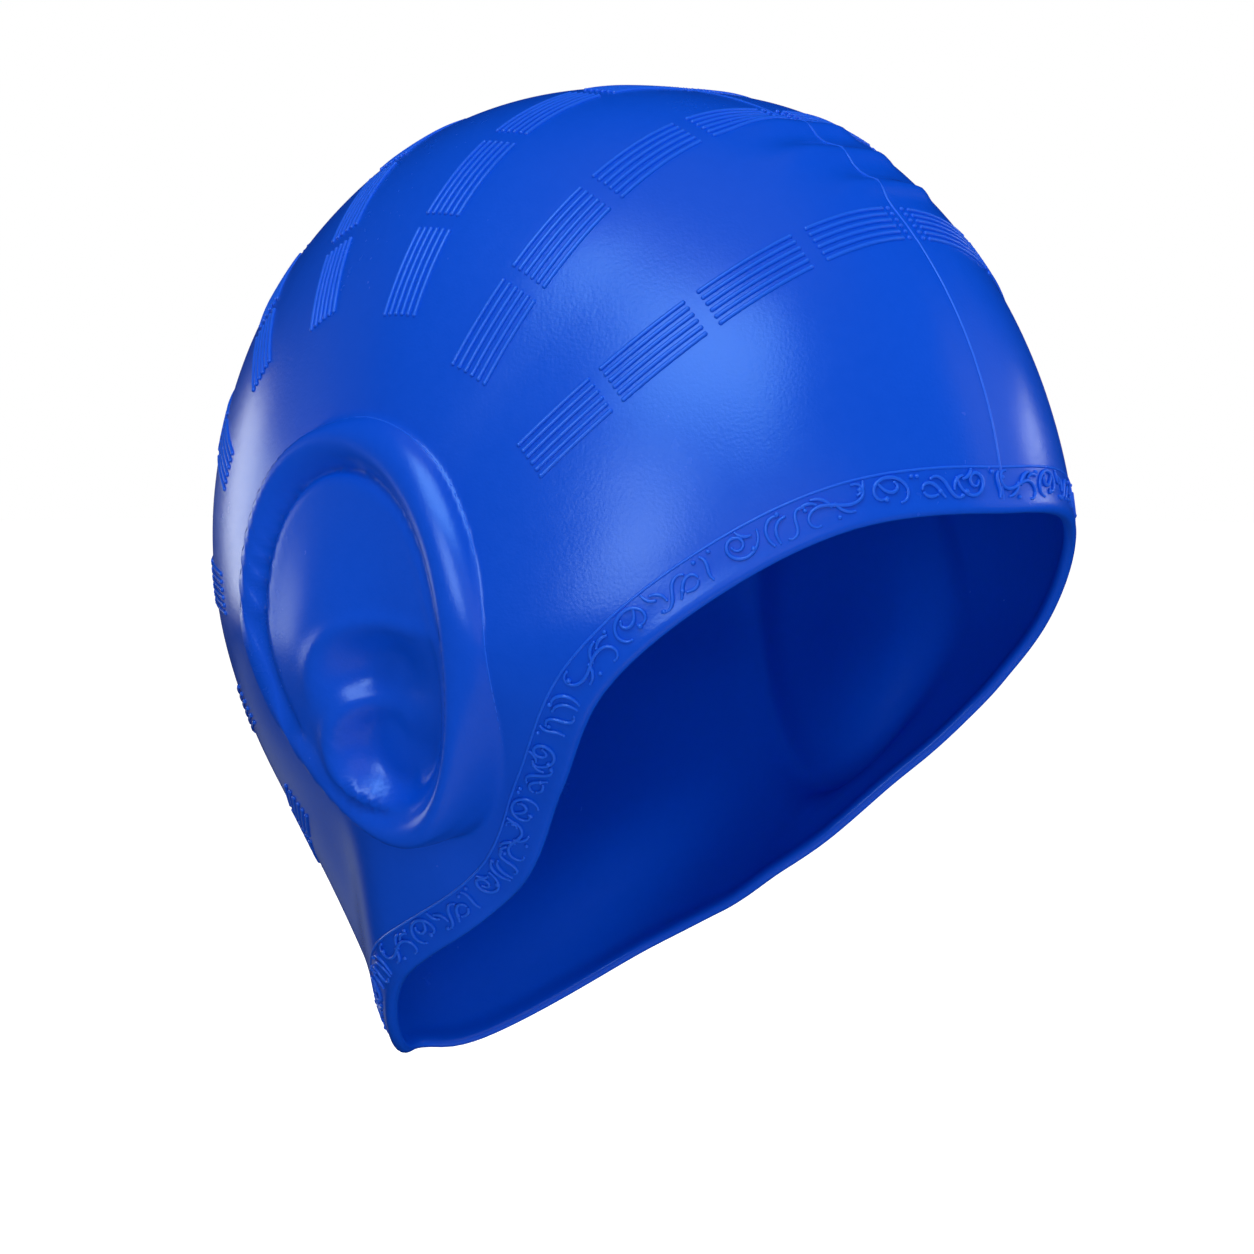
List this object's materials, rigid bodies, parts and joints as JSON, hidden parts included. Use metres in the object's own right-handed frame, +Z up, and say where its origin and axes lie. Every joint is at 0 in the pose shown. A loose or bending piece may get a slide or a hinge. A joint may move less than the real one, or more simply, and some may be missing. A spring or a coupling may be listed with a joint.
{
  "type": "swim cap",
  "caption": "Moulded silicone swim cap as worn: a thin hollow dome with a pocket over each ear, raised rib bands and a rolled edge round its opening.",
  "frame": {"origin": "the inside of the crown, straight above the middle of the axis through both ears, where the top of the head sits", "axes": "+X to the wearer's left, -Y to the front, +Z up; the cap is the same on both sides of X = 0"},
  "size_m": [0.166, 0.2104, 0.2184],
  "materials": {
    "silicone": "satin moulded silicone"
  },
  "bodies": {
    "root": {"cap_shell": "silicone"}
  },
  "joints": []
}
